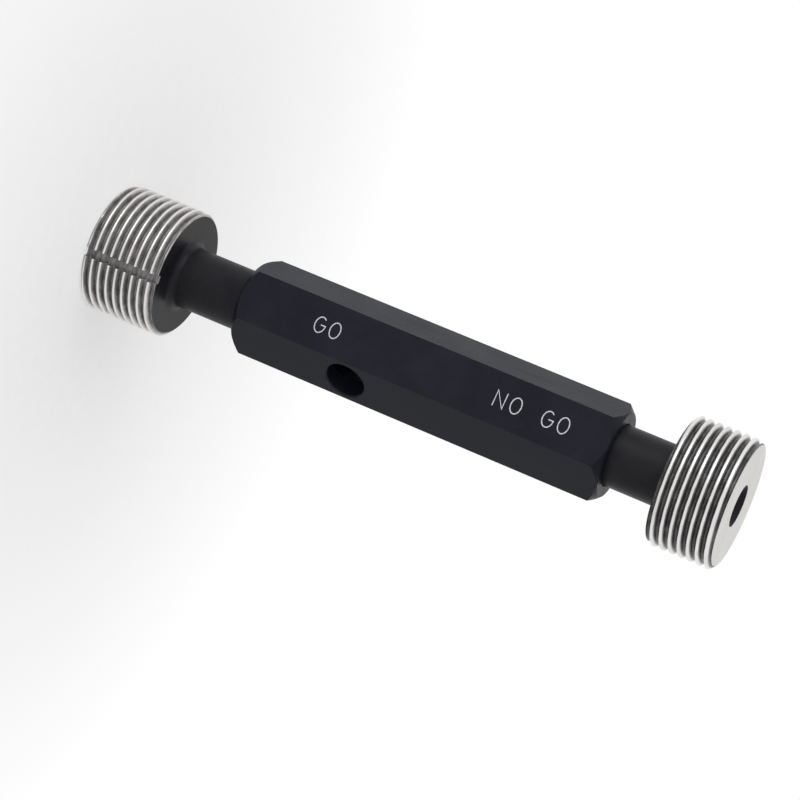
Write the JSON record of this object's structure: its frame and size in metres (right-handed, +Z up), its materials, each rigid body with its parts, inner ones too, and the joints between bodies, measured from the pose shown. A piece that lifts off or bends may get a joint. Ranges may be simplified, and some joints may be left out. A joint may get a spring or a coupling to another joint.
{
  "type": "thread plug gauge",
  "caption": "Double-ended screw plug gauge: long Go thread and short No-Go thread on necks, taper-locked into a hexagonal handle, for checking an internal pipe thread.",
  "frame": {"origin": "centre of the Go end face, on the gauge axis, where the gauge stands", "axes": "+Z up the gauge axis from the Go end to the No-Go end; -Y out of the marked flat of the handle; +X completes the right-handed frame"},
  "size_m": [0.0264, 0.0264, 0.136],
  "materials": {
    "black_oxide_steel": "steel bar with a satin black oxide finish",
    "ground_gauge_steel": "hardened tool steel, bright ground threads and outer faces, black oxide on the necks"
  },
  "bodies": {
    "root": {"handle": "black_oxide_steel", "go_plug": "ground_gauge_steel", "no_go_plug": "ground_gauge_steel"}
  },
  "joints": []
}
